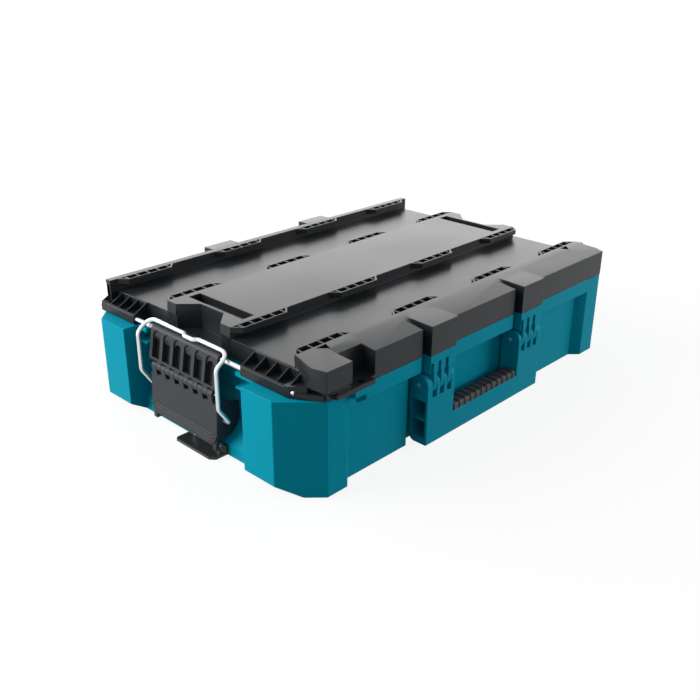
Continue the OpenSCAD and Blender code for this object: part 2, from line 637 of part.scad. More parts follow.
// Round-topped slot for the plate's pockets, w wide and h tall with its foot at the origin
module arch(w, h) {
    translate([-w / 2, 0]) square([w, h - w / 2]);
    translate([0, h - w / 2]) circle(w / 2);
}
module latch_plate() translate([rod_x, 0, rod_z]) rotate([0, -plate_lean, 0]) difference() {
    union() {
        shaft_y(0, 0, rod_r + 2.5, latch_y0, latch_y1);
        box([-plate_back, latch_y0, -bar_z], [plate_front, latch_y1, 0]);
        for (i = [0 : knuckle_n - 2]) {
            y = knuckle_y(i, knuckle_n - 1) - knuckle_w / 2;
            shaft_y(0, -plate_l, knuckle_r, y, y + knuckle_w);
            box([-plate_back, y, -plate_l], [plate_front - 1.2, y + knuckle_w, -bar_z + eps]);
        }
    }
    shaft_y(0, 0, rod_r + run_gap, latch_y0 - 1, latch_y1 + 1);
    shaft_y(0, -plate_l, knuckle_pin_r + seat_gap, latch_y0 - 1, latch_y1 + 1);
    for (i = [0 : knuckle_n - 2]) translate([0, deck_y + (i - (knuckle_n - 2) / 2) * pocket_pitch, 0])
        for (cut = [[plate_front - pocket_in[0], pocket_h + 6], [-plate_back + pocket_in[1], pocket_h]])
            translate([cut[0], 0, -pocket_z]) rotate([90, 0, 90]) linear_extrude(12)
                arch(pocket_pitch - 5, cut[1]);
}
module knuckle_pin() shaft_y(pin_x, pin_z, knuckle_pin_r, latch_y0 + 2, latch_y1 - 2);

// Section of the paddle's panel in X and Z
panel = [[face_top_x, face_top_z], [face_low_x, face_low_z], [tip_x, tip_z], [tip_x - 2.4, tip_z - 0.8],
    [face_low_x - paddle_t, face_low_z - 1.5], [face_top_x - paddle_t, face_top_z]];
// Section of its side cheeks: round about the bail's pivot and cut off behind the panel's face
module cheek_section() intersection() {
    union() {
        translate([hub_x, hub_z]) circle(hub_r);
        translate([hub_x - hub_r, hub_z]) square([2 * hub_r, face_top_z - 5 - hub_z]);
        translate([hub_x - 4, hub_z]) square([2 * hub_r, face_top_z - hub_z]);
    }
    polygon([[face_top_x - 0.5, face_top_z], [face_low_x - 0.5, face_low_z], [tip_x - 1, tip_z],
        [hub_x - hub_r - 1, tip_z], [hub_x - hub_r - 1, face_top_z]]);
}
module latch_paddle() difference() {
    union() {
        difference() {
            along_y(latch_y0, latch_y1) polygon(panel);
            for (s = [-1, 1]) along_x(pin_x - 9, tip_x + 5) translate([deck_y, 0]) polygon([
                [s * (latch_w / 2 + 1), face_low_z + 3], [s * latch_w / 2, face_low_z + 3],
                [s * (latch_w / 2 - 4), tip_z + 3], [s * (latch_w / 2 - 10), tip_z - 2],
                [s * (latch_w / 2 + 1), tip_z - 2]]);
        }
        // grip ridges across the foot of the panel
        for (i = [0 : 2]) translate([face_low_x - 0.7 + i * 0.35, 0, face_low_z + 1.5 - i * 3.6])
            along_y(latch_y0 + 7, latch_y1 - 7) polygon([[-1, -1.3], [1.3, -0.6], [1.3, 0.6], [-1, 1.3]]);
        for (i = [0 : knuckle_n - 1]) {
            y = knuckle_y(i, knuckle_n) - knuckle_w / 2;
            shaft_y(pin_x, pin_z, knuckle_r, y, y + knuckle_w);
            along_y(y, y + knuckle_w) polygon([
                [pin_x - 2, pin_z], [pin_x + knuckle_r, pin_z], [pin_x + knuckle_r - 1.2, face_top_z + 1],
                [face_top_x - 0.5, face_top_z - 5], [pin_x - 2, face_top_z - 5]]);
        }
        for (y = [latch_y0, latch_y1 - cheek_t]) along_y(y, y + cheek_t) cheek_section();
        // hooks in front of the foot catch
        hook_x = sill_x + catch_t + hook_gap;
        for (y = [latch_y0 + 2, latch_y1 - 8]) along_y(y, y + 6) polygon([
            [hook_x, catch_z + catch_t + 4.6], [tip_x - 1, catch_z + catch_t + 4.6], [tip_x - 1, tip_z - 2],
            [face_low_x - paddle_t / 2, face_low_z], [hook_x, hub_z - hub_r + 3]]);
    }
    shaft_y(pin_x, pin_z, knuckle_pin_r + run_gap, latch_y0 - 1, latch_y1 + 1);
    shaft_y(hub_x, hub_z, wire_r + run_gap, latch_y0 - 1, latch_y1 + 1);
}

// Axes x, y, z and origin o of the frame that the children are drawn in
module turn_to(x, y, z, o)
    multmatrix([[x[0], y[0], z[0], o[0]], [x[1], y[1], z[1], o[1]], [x[2], y[2], z[2], o[2]]])
        children();

// Round wire through the points of path, bent at each inner point with the radius given for it
module wire(path, bend) {
    n = len(path);
    function dir(i) = let (d = path[i + 1] - path[i]) d / norm(d);
    function cut(i) = i == 0 || i == n - 1 ? 0
        : let (c = dir(i - 1) * dir(i)) bend[i - 1] * sqrt((1 - c) / (1 + c));
    // each elbow is a hair thinner than the straight lengths and reaches a little way into them
    function lap(i) = 0.3 / bend[i - 1] * 180 / PI;
    for (i = [0 : n - 2]) {
        a = path[i] + dir(i) * cut(i);
        b = path[i + 1] - dir(i) * cut(i + 1);
        u = dir(i);
        s = abs(u[2]) < 0.9 ? [0, 0, 1] : [0, 1, 0];
        v = cross(s, u) / norm(cross(s, u));
        w = cross(u, v);
        turn_to(v, w, u, a) cylinder(r = wire_r, h = norm(b - a));
    }
    for (i = [1 : n - 2]) {
        u = dir(i - 1);
        c = u * dir(i);
        q = (dir(i) - u * c) / norm(dir(i) - u * c);
        o = path[i] - u * cut(i) + q * bend[i - 1];
        k = cross(-q, u);
        turn_to(-q, u, k, o) rotate(-lap(i)) rotate_extrude(angle = acos(c) + 2 * lap(i))
            translate([bend[i - 1], 0]) circle(wire_r - eps);
    }
}
bail_path = [
    [hub_x, latch_y0 + cheek_t + 0.5, hub_z], [hub_x, bail_y0, hub_z], [bail_leg_x, bail_y0, bail_foot_z],
    [bail_leg_x, bail_y0, bail_top_z - bail_drop], [bail_top_x, bail_y0, bail_top_z],
    [bail_top_x, jog_y[0], bail_top_z], [bail_top_x + jog, jog_y[1], bail_top_z],
    [bail_top_x + jog, jog_y[2], bail_top_z], [bail_top_x, jog_y[3], bail_top_z],
    [bail_top_x, bail_y1, bail_top_z], [bail_leg_x, bail_y1, bail_top_z - bail_drop],
    [bail_leg_x, bail_y1, bail_foot_z], [hub_x, bail_y1, hub_z], [hub_x, latch_y1 - cheek_t - 0.5, hub_z]];
bail_bends = [5, 9, 9, 10, 4, 4, 4, 4, 10, 9, 9, 5];
module bail() wire(bail_path, bail_bends);

module catch_rod() shaft_y(rod_x, rod_z, rod_r, deck_y - rod_half, deck_y + rod_half);

module left() mirror([1, 0, 0]) children();

base_shell();
lid_shell();
lid_seal();
hinge_pins();
handle_frame();
handle_grip();
handle_pins();
left() color(steel) catch_rod();  // catch_rod_left
color(steel) catch_rod();  // catch_rod_right
left() color(grey) latch_plate();  // latch_plate_left
color(grey) latch_plate();  // latch_plate_right
left() color(steel) knuckle_pin();  // knuckle_pin_left
color(steel) knuckle_pin();  // knuckle_pin_right
left() color(grey) latch_paddle();  // latch_paddle_left
color(grey) latch_paddle();  // latch_paddle_right
left() color(steel) bail();  // bail_left
color(steel) bail();  // bail_right
left() color(dark) foot_catch();  // foot_catch_left
color(dark) foot_catch();  // foot_catch_right
left() color(steel) foot_screws();  // foot_screws_left
color(steel) foot_screws();  // foot_screws_right
color(teal) padlock_tab();
color(grey) padlock_piece(lid_z, lid_z + lip_t, -lip_back);  // padlock_lip
corner_posts();
end_sills();
end_shelves();
rim_bands();
handle_bosses();
hinge_knuckles();
hinge_leaves();
back_skirt();
lid_corner();
deck_ends();
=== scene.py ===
"""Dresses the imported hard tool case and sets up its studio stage.

Each piece is its CAD solid, nearly always with rounded edges, apart from the two bails, which are
bent wires.
"""

import json
import math

import bmesh
import bpy
import numpy as np
from bpy.props import (
    FloatProperty,
    FloatVectorProperty,
    IntProperty,
    PointerProperty,
)
from mathutils import Matrix, Vector
from mathutils.bvhtree import BVHTree

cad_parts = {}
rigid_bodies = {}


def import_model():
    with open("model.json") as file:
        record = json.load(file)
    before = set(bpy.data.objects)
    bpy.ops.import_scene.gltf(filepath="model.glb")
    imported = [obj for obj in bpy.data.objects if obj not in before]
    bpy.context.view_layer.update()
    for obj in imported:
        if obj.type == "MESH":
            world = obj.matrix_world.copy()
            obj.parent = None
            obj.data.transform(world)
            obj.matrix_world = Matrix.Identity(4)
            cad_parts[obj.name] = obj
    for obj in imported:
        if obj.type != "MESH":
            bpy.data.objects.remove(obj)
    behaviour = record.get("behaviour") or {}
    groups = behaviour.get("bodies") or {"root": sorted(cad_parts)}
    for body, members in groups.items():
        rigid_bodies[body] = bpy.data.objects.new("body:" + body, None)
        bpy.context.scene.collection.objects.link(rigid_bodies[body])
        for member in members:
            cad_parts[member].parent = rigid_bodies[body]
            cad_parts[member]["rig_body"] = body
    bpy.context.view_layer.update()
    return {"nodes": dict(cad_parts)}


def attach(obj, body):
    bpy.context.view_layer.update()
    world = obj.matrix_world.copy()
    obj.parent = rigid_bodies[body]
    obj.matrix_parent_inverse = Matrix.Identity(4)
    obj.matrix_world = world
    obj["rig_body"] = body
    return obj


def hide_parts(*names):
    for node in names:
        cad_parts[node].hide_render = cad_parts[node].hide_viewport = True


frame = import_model()

bl_info = {
    "name": "Hard tool case",
    "version": (1, 0, 0),
    "blender": (4, 5, 0),
    "location": "3D View > Sidebar > Tool case",
    "description": "Builds a stackable hard tool case around its packed solids",
    "category": "Add Mesh",
}

MM = 0.001
SIDES = {"left": -1, "right": 1}
# the nodes of each moulding, which meet flush
BASE_NODES = [
    "base_shell", "corner_posts", "end_sills", "end_shelves", "rim_bands", "handle_bosses",
    "hinge_knuckles", "padlock_tab"]
LID_NODES = [
    "lid_shell", "lid_corner", "deck_ends", "hinge_leaves", "back_skirt", "padlock_lip"]

# middle line of the right bail in mm: x, y, z and the radius of the bend there
BAIL_PATH = [
    (262.5, -42.5, 41.53, 0), (262.5, -57, 41.53, 5), (276, -57, 62.03, 9),
    (276, -57, 106.1, 9), (259.5, -57, 118.1, 10), (259.5, -9.5, 118.1, 4),
    (263.5, -4.5, 118.1, 4), (263.5, 9.5, 118.1, 4), (259.5, 14.5, 118.1, 4),
    (259.5, 76, 118.1, 10), (276, 76, 106.1, 9), (276, 76, 62.03, 9),
    (262.5, 76, 41.53, 5), (262.5, 61.5, 41.53, 0)]
BEND_STEPS = 8
WIRE_SHARP_FROM = 50.0  # degrees

# angles between two faces, in degrees
ONE_FACE_BELOW = 0.8
SHARP_FROM = 8.5
ROUNDED_FROM = 32.0
NEVER_ROUNDED = 180.0

WELD = 0.05 * MM
SEAM_REACH = 0.06 * MM
SEAM_SHARES = (0.15, 0.5, 0.85)  # where along an edge its distance to a seam is taken
ROOM_SHARE = 0.42  # how much of a narrow face one rounding may take
NORMAL_WEIGHT = 50
GRIP_SEGMENTS = 4

# edge radii as shares of the properties' radii
LID_SHARE = 0.6
PIN_SHARE = 0.5
SCREW_SHARE = 0.3

# name and settings of each material; its colour is the property with the same key
FINISHES = {
    "teal": ("teal_moulding", {"rough": (0.42, 0.55), "spread": 0.03, "Specular_IOR_Level": 0.06}),
    "lid": ("lid_moulding", {"rough": (0.28, 0.36), "Specular_IOR_Level": 0.22}),
    "latch": ("latch_moulding", {"rough": (0.45, 0.55), "Specular_IOR_Level": 0.25}),
    "rubber": ("grip_rubber", {"rough": (0.6, 0.75), "grain": 2600, "depth": 0.04 * MM}),
    "coated": ("coated_steel", {"rough": (0.38, 0.5), "grain": 1900, "depth": 0.03 * MM}),
    "steel": ("bright_steel", {"rough": (0.16, 0.26), "grain": 2200, "depth": 0.004 * MM,
                               "spread": 0.03, "Metallic": 1.0}),
}

# place and size of each soft lamp in metres; its power is the property with the same key
LAMPS = {
    "left": ((-1.95, 1.8, 1.2), (2.8, 2.1)),
    "right": ((2.25, -1.75, 0.62), (2.2, 0.9)),
    "back": ((1.8, 1.85, 0.9), (3.0, 1.2)),
}
LAMP_AIM = (0, 0, 0.07)
ROOM_COLOUR = (0.92, 0.96, 1.0, 1)
ROOM_STRENGTH = 0.3
WHITE = (1, 1, 1, 1)

FLOOR_REACH = 9.0
# distance from the middle in metres, and the glow at its two ends
FLOOR_GLOW = {"From_Min": 0.6, "From_Max": 4.0, "To_Min": 0.88, "To_Max": 1.0}

CAMERA_PLACE = (-0.74473, -0.68468, 0.47881)
# radians: from +Y towards +X, downwards, and about the line of sight
CAMERA_BEARING, CAMERA_TILT, CAMERA_ROLL = 0.808, 0.426, 0.006
SENSOR_WIDTH = 36
VIEW_REACH = 50


# ---- properties ----


class CaseFinish(bpy.types.PropertyGroup):
    """Colours and edge radii of the case."""

    teal: FloatVectorProperty(
        name="Base colour", description="Moulded base and handle", subtype="COLOR",
        default=(0.0, 0.345, 0.475), min=0.0, max=1.0)
    lid: FloatVectorProperty(
        name="Lid colour", description="Moulded lid", subtype="COLOR",
        default=(0.018, 0.020, 0.023), min=0.0, max=1.0)
    latch: FloatVectorProperty(
        name="Latch colour", description="Latch plates and paddles", subtype="COLOR",
        default=(0.030, 0.032, 0.036), min=0.0, max=1.0)
    rubber: FloatVectorProperty(
        name="Rubber colour", description="Grip and seal", subtype="COLOR",
        default=(0.030, 0.030, 0.031), min=0.0, max=1.0)
    coated: FloatVectorProperty(
        name="Coated steel colour", description="Catches under the ends", subtype="COLOR",
        default=(0.012, 0.012, 0.013), min=0.0, max=1.0)
    steel: FloatVectorProperty(
        name="Bright steel colour", description="Wires, rods, pins and screws", subtype="COLOR",
        default=(0.50, 0.53, 0.52), min=0.0, max=1.0)
    edge: FloatProperty(
        name="Edge radius", description="Rounding of the large mouldings' edges",
        subtype="DISTANCE", unit="LENGTH", default=0.8 * MM, min=0.1 * MM, max=3 * MM)
    fine_edge: FloatProperty(
        name="Fine edge radius", description="Rounding of the small parts' edges",
        subtype="DISTANCE", unit="LENGTH", default=0.45 * MM, min=0.1 * MM, max=2 * MM)
    grip_edge: FloatProperty(
        name="Grip edge radius", description="Rounding of the grip's ribs",
        subtype="DISTANCE", unit="LENGTH", default=2.2 * MM, min=0.1 * MM, max=3 * MM)


class CaseRepeats(bpy.types.PropertyGroup):
    """Sizes of the bent wires."""

    wire_sides: IntProperty(
        name="Wire sides", description="Sides of the bail's round wire",
        default=20, min=8, max=48)
    wire_radius: FloatProperty(
        name="Wire radius", description="Radius of the bail's wire", subtype="DISTANCE",
        unit="LENGTH", default=2.25 * MM, min=1 * MM, max=3 * MM)


class CaseStudio(bpy.types.PropertyGroup):
    """Lamps, floor and camera."""

    left_power: FloatProperty(
        name="Left lamp", description="Large soft lamp to the left and behind", subtype="POWER",
        unit="POWER", default=103.0, min=0.0)
    right_power: FloatProperty(
        name="Right lamp", description="Soft lamp on the handle side", subtype="POWER",
        unit="POWER", default=37.0, min=0.0)
    back_power: FloatProperty(
        name="Back lamp", description="Soft lamp behind that gives the lid its sheen",
        subtype="POWER", unit="POWER", default=28.0, min=0.0)
    floor_tone: FloatProperty(
        name="Floor tone", description="Brightness of the floor", subtype="FACTOR",
        default=0.15, min=0.0, max=1.0)
    lens: FloatProperty(
        name="Lens", description="Focal length of the camera", subtype="DISTANCE_CAMERA",
        unit="CAMERA", default=45.47, min=10.0, max=200.0)


# ---- node helpers ----


def cleared(tree):
    """Empties a node tree and gives its nodes and links."""
    tree.nodes.clear()
    return tree.nodes, tree.links


def add_input(tree, name, kind, value=None, low=None):
    """Adds an input to a node group, with its default and lowest value where they are given."""
    item = tree.interface.new_socket(name=name, in_out="INPUT", socket_type=kind)
    if value is not None:
        item.default_value = value
    if low is not None:
        item.min_value = low


def set_inputs(node, **values):
    """Sets inputs of a node, named with _ for each space, and gives the node."""
    for key, value in values.items():
        node.inputs[key.replace("_", " ")].default_value = value
    return node


def maths(tree, operation, *values):
    """Output of a math node whose inputs are sockets or numbers."""
    node = tree.nodes.new("ShaderNodeMath")
    node.operation = operation
    for index, value in enumerate(values):
        if isinstance(value, bpy.types.NodeSocket):
            tree.links.new(value, node.inputs[index])
        else:
            node.inputs[index].default_value = value
    return node.outputs[0]


# ---- materials ----


def grain_group():
    """Fine moulded grain: a height, a slow tone and a roughness that vary over the surface."""
    name = "moulded_grain"
    if name in bpy.data.node_groups:
        return bpy.data.node_groups[name]
    tree = bpy.data.node_groups.new(name, "ShaderNodeTree")
    add_input(tree, "Colour", "NodeSocketColor", (0.5, 0.5, 0.5, 1))
    add_input(tree, "Grain Scale", "NodeSocketFloat", 1500.0)
    add_input(tree, "Tone Spread", "NodeSocketFloat", 0.06)
    add_input(tree, "Roughness Low", "NodeSocketFloat", 0.4)
    add_input(tree, "Roughness High", "NodeSocketFloat", 0.55)
    for out, kind in (("Colour", "NodeSocketColor"), ("Roughness", "NodeSocketFloat"),
                      ("Height", "NodeSocketFloat")):
        tree.interface.new_socket(name=out, in_out="OUTPUT", socket_type=kind)
    nodes, links = tree.nodes, tree.links
    source = nodes.new("NodeGroupInput")
    sink = nodes.new("NodeGroupOutput")
    place = nodes.new("ShaderNodeTexCoord")
    fine = set_inputs(nodes.new("ShaderNodeTexNoise"), Detail=3.0)
    slow = set_inputs(nodes.new("ShaderNodeTexNoise"), Scale=9.0, Detail=4.0)
    for noise in (fine, slow):
        links.new(place.outputs["Object"], noise.inputs["Vector"])
    links.new(source.outputs["Grain Scale"], fine.inputs["Scale"])
    # tone: 1 - spread .. 1 + spread
    spread = source.outputs["Tone Spread"]
    tone = set_inputs(nodes.new("ShaderNodeMapRange"), From_Min=0.3, From_Max=0.7)
    links.new(slow.outputs["Fac"], tone.inputs["Value"])
    links.new(maths(tree, "SUBTRACT", 1.0, spread), tone.inputs["To Min"])
    links.new(maths(tree, "ADD", 1.0, spread), tone.inputs["To Max"])
    scale = nodes.new("ShaderNodeVectorMath")
    scale.operation = "SCALE"
    links.new(source.outputs["Colour"], scale.inputs[0])
    links.new(tone.outputs["Result"], scale.inputs["Scale"])
    links.new(scale.outputs[0], sink.inputs["Colour"])
    # roughness: mixed from the slow and the fine noise
    half = maths(tree, "MULTIPLY", slow.outputs["Fac"], 0.5)
    mixed = maths(tree, "MULTIPLY_ADD", fine.outputs["Fac"], 0.5, half)
    rough = set_inputs(nodes.new("ShaderNodeMapRange"), From_Min=0.35, From_Max=0.65)
    links.new(mixed, rough.inputs["Value"])
    links.new(source.outputs["Roughness Low"], rough.inputs["To Min"])
    links.new(source.outputs["Roughness High"], rough.inputs["To Max"])
    links.new(rough.outputs["Result"], sink.inputs["Roughness"])
    links.new(fine.outputs["Fac"], sink.inputs["Height"])
    return tree


def moulded(name, colour, rough, grain=1500.0, depth=0.02 * MM, spread=0.05, **plain):
    """A surface with the shared grain; plain sets inputs of the shader itself."""
    if name in bpy.data.materials:
        return bpy.data.materials[name]
    material = bpy.data.materials.new(name)
    material.use_nodes = True
    nodes, links = cleared(material.node_tree)
    out = nodes.new("ShaderNodeOutputMaterial")
    shader = set_inputs(nodes.new("ShaderNodeBsdfPrincipled"), **plain)
    links.new(shader.outputs[0], out.inputs["Surface"])
    group = nodes.new("ShaderNodeGroup")
    group.node_tree = grain_group()
    set_inputs(group, Colour=(*colour, 1), Grain_Scale=grain, Tone_Spread=spread,
               Roughness_Low=rough[0], Roughness_High=rough[1])
    links.new(group.outputs["Colour"], shader.inputs["Base Color"])
    links.new(group.outputs["Roughness"], shader.inputs["Roughness"])
    bump = set_inputs(nodes.new("ShaderNodeBump"), Strength=1.0, Distance=depth)
    links.new(group.outputs["Height"], bump.inputs["Height"])
    links.new(bump.outputs["Normal"], shader.inputs["Normal"])
    material.diffuse_color = (*colour, 1)
    return material


def finish_of(kind):
    """The material of one finish, made once."""
    name, settings = FINISHES[kind]
    return moulded(name, getattr(bpy.context.scene.case_finish, kind), **settings)


# ---- mesh helpers ----


def new_piece(name, mesh):
    """An object for a mesh, linked to the scene."""
    piece = bpy.data.objects.new(name, mesh)
    bpy.context.scene.collection.objects.link(piece)
    return piece


def shade(mesh, angle):
    """Smooth faces, with edges sharper than the angle left sharp."""
    mesh.polygons.foreach_set("use_smooth", np.ones(len(mesh.polygons), bool))
    mesh.set_sharp_from_angle(angle=math.radians(angle))


def settle(piece, name):
    """Turns the piece with its modifiers into one plain mesh and drops the modifiers."""
    graph = bpy.context.evaluated_depsgraph_get()
    mesh = bpy.data.meshes.new_from_object(piece.evaluated_get(graph))
    mesh.name = name
    piece.modifiers.clear()
    old = piece.data
    piece.data = mesh
    bpy.data.meshes.remove(old)


def room_beside(edge, face):
    """How far a face reaches from one of its edges before it meets another of its corners."""
    ends = [vert.co for vert in edge.verts]
    line = ends[1] - ends[0]
    span = line.length
    line /= span
    room = 1.0
    for vert in face.verts:
        if vert in edge.verts:
            continue
        along = min(max((vert.co - ends[0]).dot(line), 0.0), span)
        room = min(room, (vert.co - ends[0] - line * along).length)
    return room


def surface_of(nodes):
    """Search tree over the faces of several CAD nodes, or None without any."""
    points, faces = [], []
    for node in nodes:
        mesh = frame["nodes"][node].data
        first = len(points)
        points += [vert.co.copy() for vert in mesh.vertices]
        faces += [[first + index for index in face.vertices] for face in mesh.polygons]
    return BVHTree.FromPolygons(points, faces) if faces else None


def on_seam(edge, beside):
    """Whether an edge lies on the surface of the pieces beside it, such as a flush joint."""
    ends = [vert.co for vert in edge.verts]
    return all(beside.find_nearest(ends[0].lerp(ends[1], share), SEAM_REACH)[0] is not None
               for share in SEAM_SHARES)


def weigh_edges(shape, limit, width, beside):
    """Bevel weight for each edge sharper than the limit, smaller where its faces are narrow.

    Shallower creases, and edges on a seam, stay sharp in the shading instead.
    """
    layer = shape.edges.layers.float.new("bevel_weight_edge")
    for edge in shape.edges:
        if len(edge.link_faces) != 2:
            continue
        angle = edge.calc_face_angle(0.0)
        if angle < limit or (beside and on_seam(edge, beside)):
            edge.smooth = angle < math.radians(SHARP_FROM)
            continue
        room = min(room_beside(edge, face) for face in edge.link_faces)
        edge[layer] = min(1.0, ROOM_SHARE * room / width)


def mesh_of(node, limit, width, beside):
    """A welded copy of a CAD node's mesh, its flat faces joined and its sharp edges weighed."""
    mesh = frame["nodes"][node].data.copy()
    shape = bmesh.new()
    shape.from_mesh(mesh)
    bmesh.ops.remove_doubles(shape, verts=shape.verts[:], dist=WELD)
    bmesh.ops.dissolve_degenerate(shape, edges=shape.edges[:], dist=WELD)
    bmesh.ops.dissolve_limit(shape, angle_limit=math.radians(ONE_FACE_BELOW),
                             verts=shape.verts[:], edges=shape.edges[:])
    shape.normal_update()
    for face in shape.faces:
        face.smooth = True
    weigh_edges(shape, math.radians(limit), width, surface_of(beside))
    shape.to_mesh(mesh)
    shape.free()
    mesh.materials.clear()
    for key in list(mesh.attributes.keys()):
        if key in ("custom_normal", "UVMap"):
            mesh.attributes.remove(mesh.attributes[key])
    return mesh


def dressed(node, name, finish, edge, limit=ROUNDED_FROM, segments=2, beside=()):
    """Puts a piece with rounded edges in a CAD node's place; seams with those beside it stay."""
    piece = new_piece(name, mesh_of(node, limit, edge, beside))
    bevel = piece.modifiers.new("round", "BEVEL")
    bevel.width = edge
    bevel.segments = segments
    bevel.limit_method = "WEIGHT"
    bevel.use_clamp_overlap = False
    bevel.miter_outer = "MITER_SHARP"
    bevel.loop_slide = False
    settle(piece, name)
    weight = piece.modifiers.new("weight", "WEIGHTED_NORMAL")
    weight.keep_sharp = True
    weight.weight = NORMAL_WEIGHT
    settle(piece, name)
    piece.data.materials.append(finish_of(finish))
    body = frame["nodes"][node]["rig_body"]
    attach(piece, body)
    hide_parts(node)


def dress_moulding(nodes, finish, edge, plain=()):
    """Dresses the nodes of one moulding; the plain ones keep their edges as they are."""
    for node in nodes:
        others = [other for other in nodes if other != node]
        limit = NEVER_ROUNDED if node in plain else ROUNDED_FROM
        dressed(node, f"{node}_moulding", finish, edge, limit, beside=others)


# ---- bent wire ----


def new_tree(name):
    """A geometry node tree with its geometry sockets, its input node and its output node."""
    tree = bpy.data.node_groups.new(name, "GeometryNodeTree")
    tree.is_modifier = True
    add_input(tree, "Geometry", "NodeSocketGeometry")
    tree.interface.new_socket(name="Geometry", in_out="OUTPUT", socket_type="NodeSocketGeometry")
    return tree, tree.nodes.new("NodeGroupInput"), tree.nodes.new("NodeGroupOutput")


def close_tree(tree, made, source, sink):
    """Ends a tree with real geometry and its material."""
    real = tree.nodes.new("GeometryNodeRealizeInstances")
    paint = tree.nodes.new("GeometryNodeSetMaterial")
    tree.links.new(made, real.inputs["Geometry"])
    tree.links.new(real.outputs["Geometry"], paint.inputs["Geometry"])
    tree.links.new(source.outputs["Material"], paint.inputs["Material"])
    tree.links.new(paint.outputs["Geometry"], sink.inputs["Geometry"])


def wire_tree():
    """Round wire along the edges of a mesh, bent at each vertex by its own radius."""
    name = "bent_wire"
    if name in bpy.data.node_groups:
        return bpy.data.node_groups[name]
    tree, source, sink = new_tree(name)
    add_input(tree, "Radius", "NodeSocketFloat", 2.25 * MM, 0.0)
    add_input(tree, "Sides", "NodeSocketInt", 20, 3)
    add_input(tree, "Steps", "NodeSocketInt", BEND_STEPS, 1)
    add_input(tree, "Material", "NodeSocketMaterial")
    nodes, links = tree.nodes, tree.links
    line = nodes.new("GeometryNodeMeshToCurve")
    links.new(source.outputs["Geometry"], line.inputs["Mesh"])
    bend = nodes.new("GeometryNodeInputNamedAttribute")
    bend.data_type = "FLOAT"
    bend.inputs["Name"].default_value = "bend"
    fillet = nodes.new("GeometryNodeFilletCurve")
    fillet.mode = "POLY"
    links.new(line.outputs["Curve"], fillet.inputs["Curve"])
    links.new(source.outputs["Steps"], fillet.inputs["Count"])
    links.new(bend.outputs["Attribute"], fillet.inputs["Radius"])
    section = nodes.new("GeometryNodeCurvePrimitiveCircle")
    links.new(source.outputs["Sides"], section.inputs["Resolution"])
    links.new(source.outputs["Radius"], section.inputs["Radius"])
    tube = nodes.new("GeometryNodeCurveToMesh")
    tube.inputs["Fill Caps"].default_value = True
    links.new(fillet.outputs["Curve"], tube.inputs["Curve"])
    links.new(section.outputs["Curve"], tube.inputs["Profile Curve"])
    close_tree(tree, tube.outputs["Mesh"], source, sink)
    return tree


def grow(piece, name, tree, **values):
    """Runs a node tree on the piece with its inputs set, and keeps the result as a plain mesh."""
    modifier = piece.modifiers.new("grow", "NODES")
    modifier.node_group = tree
    for item in tree.interface.items_tree:
        key = item.name.lower()
        if getattr(item, "in_out", "") == "INPUT" and key in values:
            modifier[item.identifier] = values[key]
    settle(piece, name)


# ---- operators ----


class CASE_OT_base(bpy.types.Operator):
    """Base moulding in its eight nodes"""

    bl_idname = "case.base"
    bl_label = "Base"

    def execute(self, context):
        look = context.scene.case_finish
        # the sills meet other pieces all round
        dress_moulding(BASE_NODES, "teal", look.edge, plain=("end_sills",))
        return {"FINISHED"}


class CASE_OT_lid(bpy.types.Operator):
    """Lid moulding in its six nodes, and the seal under its rim"""

    bl_idname = "case.lid"
    bl_label = "Lid"

    def execute(self, context):
        look = context.scene.case_finish
        dress_moulding(LID_NODES, "lid", look.edge * LID_SHARE)
        dressed("lid_seal", "rim_seal", "rubber", look.fine_edge)
        return {"FINISHED"}


class CASE_OT_handle(bpy.types.Operator):
    """Folding handle and its ribbed grip"""

    bl_idname = "case.handle"
    bl_label = "Handle"

    def execute(self, context):
        look = context.scene.case_finish
        dressed("handle_frame", "handle_moulding", "teal", look.edge)
        dressed("handle_grip", "handle_grip_pad", "rubber", look.grip_edge,
                segments=GRIP_SEGMENTS)
        return {"FINISHED"}


class CASE_OT_latches(bpy.types.Operator):
    """Latch plates and paddles at both ends"""

    bl_idname = "case.latches"
    bl_label = "Latches"

    def execute(self, context):
        radius = context.scene.case_finish.fine_edge
        for side in SIDES:
            dressed(f"latch_plate_{side}", f"plate_{side}", "latch", radius)
            dressed(f"latch_paddle_{side}", f"paddle_{side}", "latch", radius)
        return {"FINISHED"}


class CASE_OT_wires(bpy.types.Operator):
    """Bails, rods and pins of bright steel"""

    bl_idname = "case.wires"
    bl_label = "Wires and pins"

    def execute(self, context):
        radius = context.scene.case_finish.fine_edge * PIN_SHARE
        names = ["hinge_pins", "handle_pins"]
        for side in SIDES:
            names += [f"catch_rod_{side}", f"knuckle_pin_{side}"]
            self.bail(context, side)
        for node in names:
            dressed(node, f"{node}_steel", "steel", radius)
        return {"FINISHED"}

    def bail(self, context, side):
        """One bail of bent wire along its path."""
        wire = context.scene.case_repeats
        mesh = bpy.data.meshes.new(f"bail_{side}_line")
        points = [(SIDES[side] * x * MM, y * MM, z * MM) for x, y, z, _ in BAIL_PATH]
        mesh.from_pydata(points, [(i, i + 1) for i in range(len(points) - 1)], [])
        bend = mesh.attributes.new("bend", "FLOAT", "POINT")
        bend.data.foreach_set("value", [radius * MM for *_, radius in BAIL_PATH])
        piece = new_piece(f"bail_{side}_wire", mesh)
        grow(piece, f"bail_{side}_wire", wire_tree(), radius=wire.wire_radius,
             sides=wire.wire_sides, steps=BEND_STEPS, material=finish_of("steel"))
        shade(piece.data, WIRE_SHARP_FROM)
        if "bend" in piece.data.attributes:
            piece.data.attributes.remove(piece.data.attributes["bend"])
        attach(piece, f"bail_{side}")
        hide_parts(f"bail_{side}")


